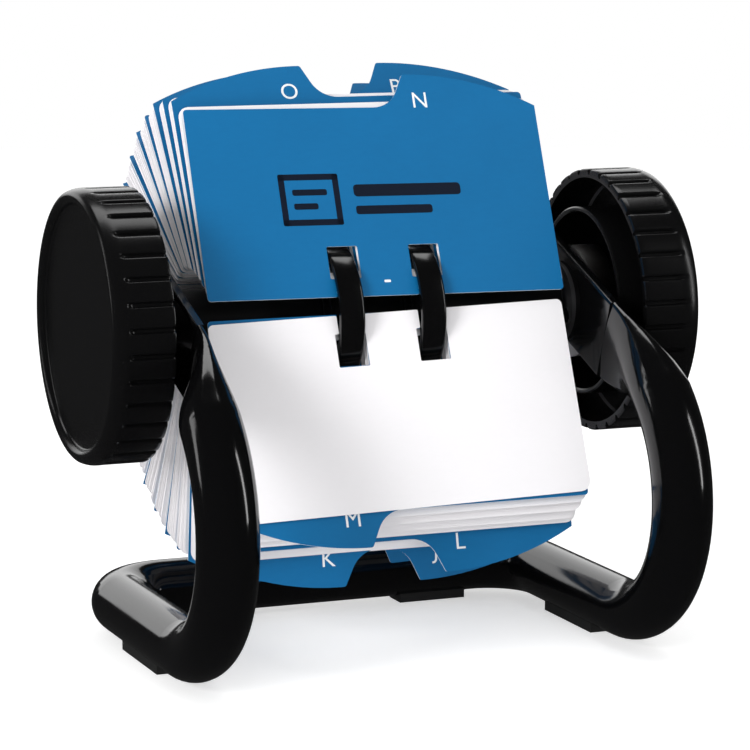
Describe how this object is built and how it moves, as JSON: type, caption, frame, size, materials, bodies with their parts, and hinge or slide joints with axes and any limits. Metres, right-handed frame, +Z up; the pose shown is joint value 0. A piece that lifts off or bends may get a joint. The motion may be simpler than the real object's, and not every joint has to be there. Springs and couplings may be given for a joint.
{
  "type": "rotary card file",
  "caption": "Open rotary card file: slotted cards and tabbed index guides on two rings, turned by ribbed knobs on a bent tube stand.",
  "frame": {"origin": "on the table, straight below the middle of the axle, within a millimetre of the middle of the box", "axes": "+X along the axle to the right knob, +Y from the open front to the back, +Z up"},
  "size_m": [0.165, 0.1475, 0.1556],
  "materials": {
    "black_enamel": "gloss",
    "knob_plastic": "satin",
    "ring_plastic": "gloss",
    "core_plastic": "satin",
    "bearing_plastic": "satin",
    "bright_steel": "satin",
    "foot_rubber": "matte",
    "guide_board": "satin",
    "card_stock": "matte"
  },
  "bodies": {
    "frame": {"stand_tube": "black_enamel", "left_bushing": "bearing_plastic", "right_bushing": "bearing_plastic", "clutch_cup": "bearing_plastic", "clutch_rivets": "bright_steel", "left_rail_foot": "foot_rubber", "right_rail_foot": "foot_rubber", "left_rear_foot": "foot_rubber", "right_rear_foot": "foot_rubber"},
    "rotor": {"card_packs_1": "card_stock", "card_packs_2": "card_stock", "card_packs_3": "card_stock", "card_packs_4": "card_stock", "card_packs_5": "card_stock", "card_packs_6": "card_stock", "card_packs_7": "card_stock", "card_packs_8": "card_stock", "clutch_balls": "bright_steel", "clutch_hub": "bearing_plastic", "clutch_springs": "bright_steel", "core_pins": "bright_steel", "core_tube": "core_plastic", "guide_a": "guide_board", "guide_b": "guide_board", "guide_c": "guide_board", "guide_d": "guide_board", "guide_e": "guide_board", "guide_f": "guide_board", "guide_g": "guide_board", "guide_h": "guide_board", "guide_i": "guide_board", "guide_j": "guide_board", "guide_k": "guide_board", "guide_l": "guide_board", "guide_m": "guide_board", "guide_o": "guide_board", "guide_p": "guide_board", "guide_q": "guide_board", "guide_r": "guide_board", "guide_s": "guide_board", "guide_t": "guide_board", "guide_u": "guide_board", "guide_v": "guide_board", "guide_w": "guide_board", "guide_xyz": "guide_board", "left_card_ring": "ring_plastic", "left_core_plug": "core_plastic", "left_knob": "knob_plastic", "left_spacer": "bearing_plastic", "left_thrust_washer": "bright_steel", "right_card_ring": "ring_plastic", "right_core_plug": "core_plastic", "right_knob": "knob_plastic", "right_thrust_washer": "bright_steel", "spindle": "bright_steel"},
    "front_guide": {"guide_n": "guide_board"}
  },
  "joints": [
    {"name": "rotor_turn", "type": "hinge", "parent": "frame", "child": "rotor", "pos_m": [0, 0, 0.09], "axis": [1, 0, 0], "continuous": true},
    {"name": "front_guide_turn", "type": "hinge", "parent": "rotor", "child": "front_guide", "pos_m": [0, 0, 0.09], "axis": [1, 0, 0], "range_deg": [0, 26]}
  ]
}
